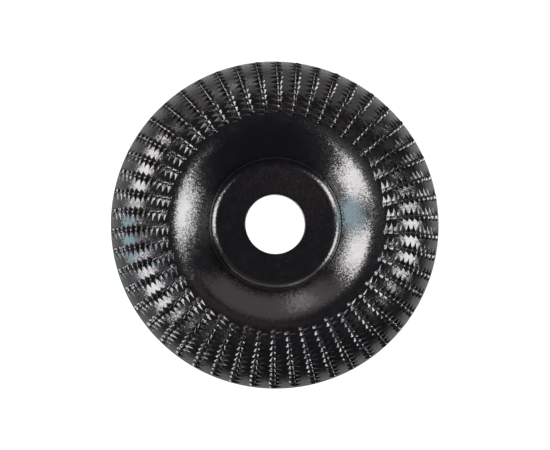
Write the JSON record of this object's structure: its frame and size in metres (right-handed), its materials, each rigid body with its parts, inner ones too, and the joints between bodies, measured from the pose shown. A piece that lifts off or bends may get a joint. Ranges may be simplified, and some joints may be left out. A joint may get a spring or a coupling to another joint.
{
  "type": "carving disc",
  "caption": "Dished steel carving disc for an angle grinder, with a sunk hub round its bore and radial rows of raised rasp teeth over the crown.",
  "frame": {"origin": "centre of the bore on the hub's back face", "axes": "+Z along the bore axis, out of the toothed working side; X and Y are the same all round but for the rows' phase, with the first row 3.3 degrees from +X towards +Y"},
  "size_m": [0.0884, 0.0884, 0.0106],
  "materials": {
    "black_coating": "gloss black paint with a fine orange-peel texture"
  },
  "bodies": {
    "root": {"disc_body": "black_coating", "tooth_row_01": "black_coating", "tooth_row_02": "black_coating", "tooth_row_03": "black_coating", "tooth_row_04": "black_coating", "tooth_row_05": "black_coating", "tooth_row_06": "black_coating", "tooth_row_07": "black_coating", "tooth_row_08": "black_coating", "tooth_row_09": "black_coating", "tooth_row_10": "black_coating", "tooth_row_11": "black_coating", "tooth_row_12": "black_coating", "tooth_row_13": "black_coating", "tooth_row_14": "black_coating", "tooth_row_15": "black_coating", "tooth_row_16": "black_coating", "tooth_row_17": "black_coating", "tooth_row_18": "black_coating", "tooth_row_19": "black_coating", "tooth_row_20": "black_coating", "tooth_row_21": "black_coating", "tooth_row_22": "black_coating", "tooth_row_23": "black_coating", "tooth_row_24": "black_coating", "tooth_row_25": "black_coating", "tooth_row_26": "black_coating", "tooth_row_27": "black_coating", "tooth_row_28": "black_coating", "tooth_row_29": "black_coating", "tooth_row_30": "black_coating", "tooth_row_31": "black_coating", "tooth_row_32": "black_coating", "tooth_row_33": "black_coating", "tooth_row_34": "black_coating", "tooth_row_35": "black_coating", "tooth_row_36": "black_coating", "tooth_row_37": "black_coating", "tooth_row_38": "black_coating", "tooth_row_39": "black_coating", "tooth_row_40": "black_coating", "tooth_row_41": "black_coating", "tooth_row_42": "black_coating", "tooth_row_43": "black_coating", "tooth_row_44": "black_coating", "tooth_row_45": "black_coating", "tooth_row_46": "black_coating", "tooth_row_47": "black_coating", "tooth_row_48": "black_coating", "tooth_row_49": "black_coating", "tooth_row_50": "black_coating"}
  },
  "joints": []
}
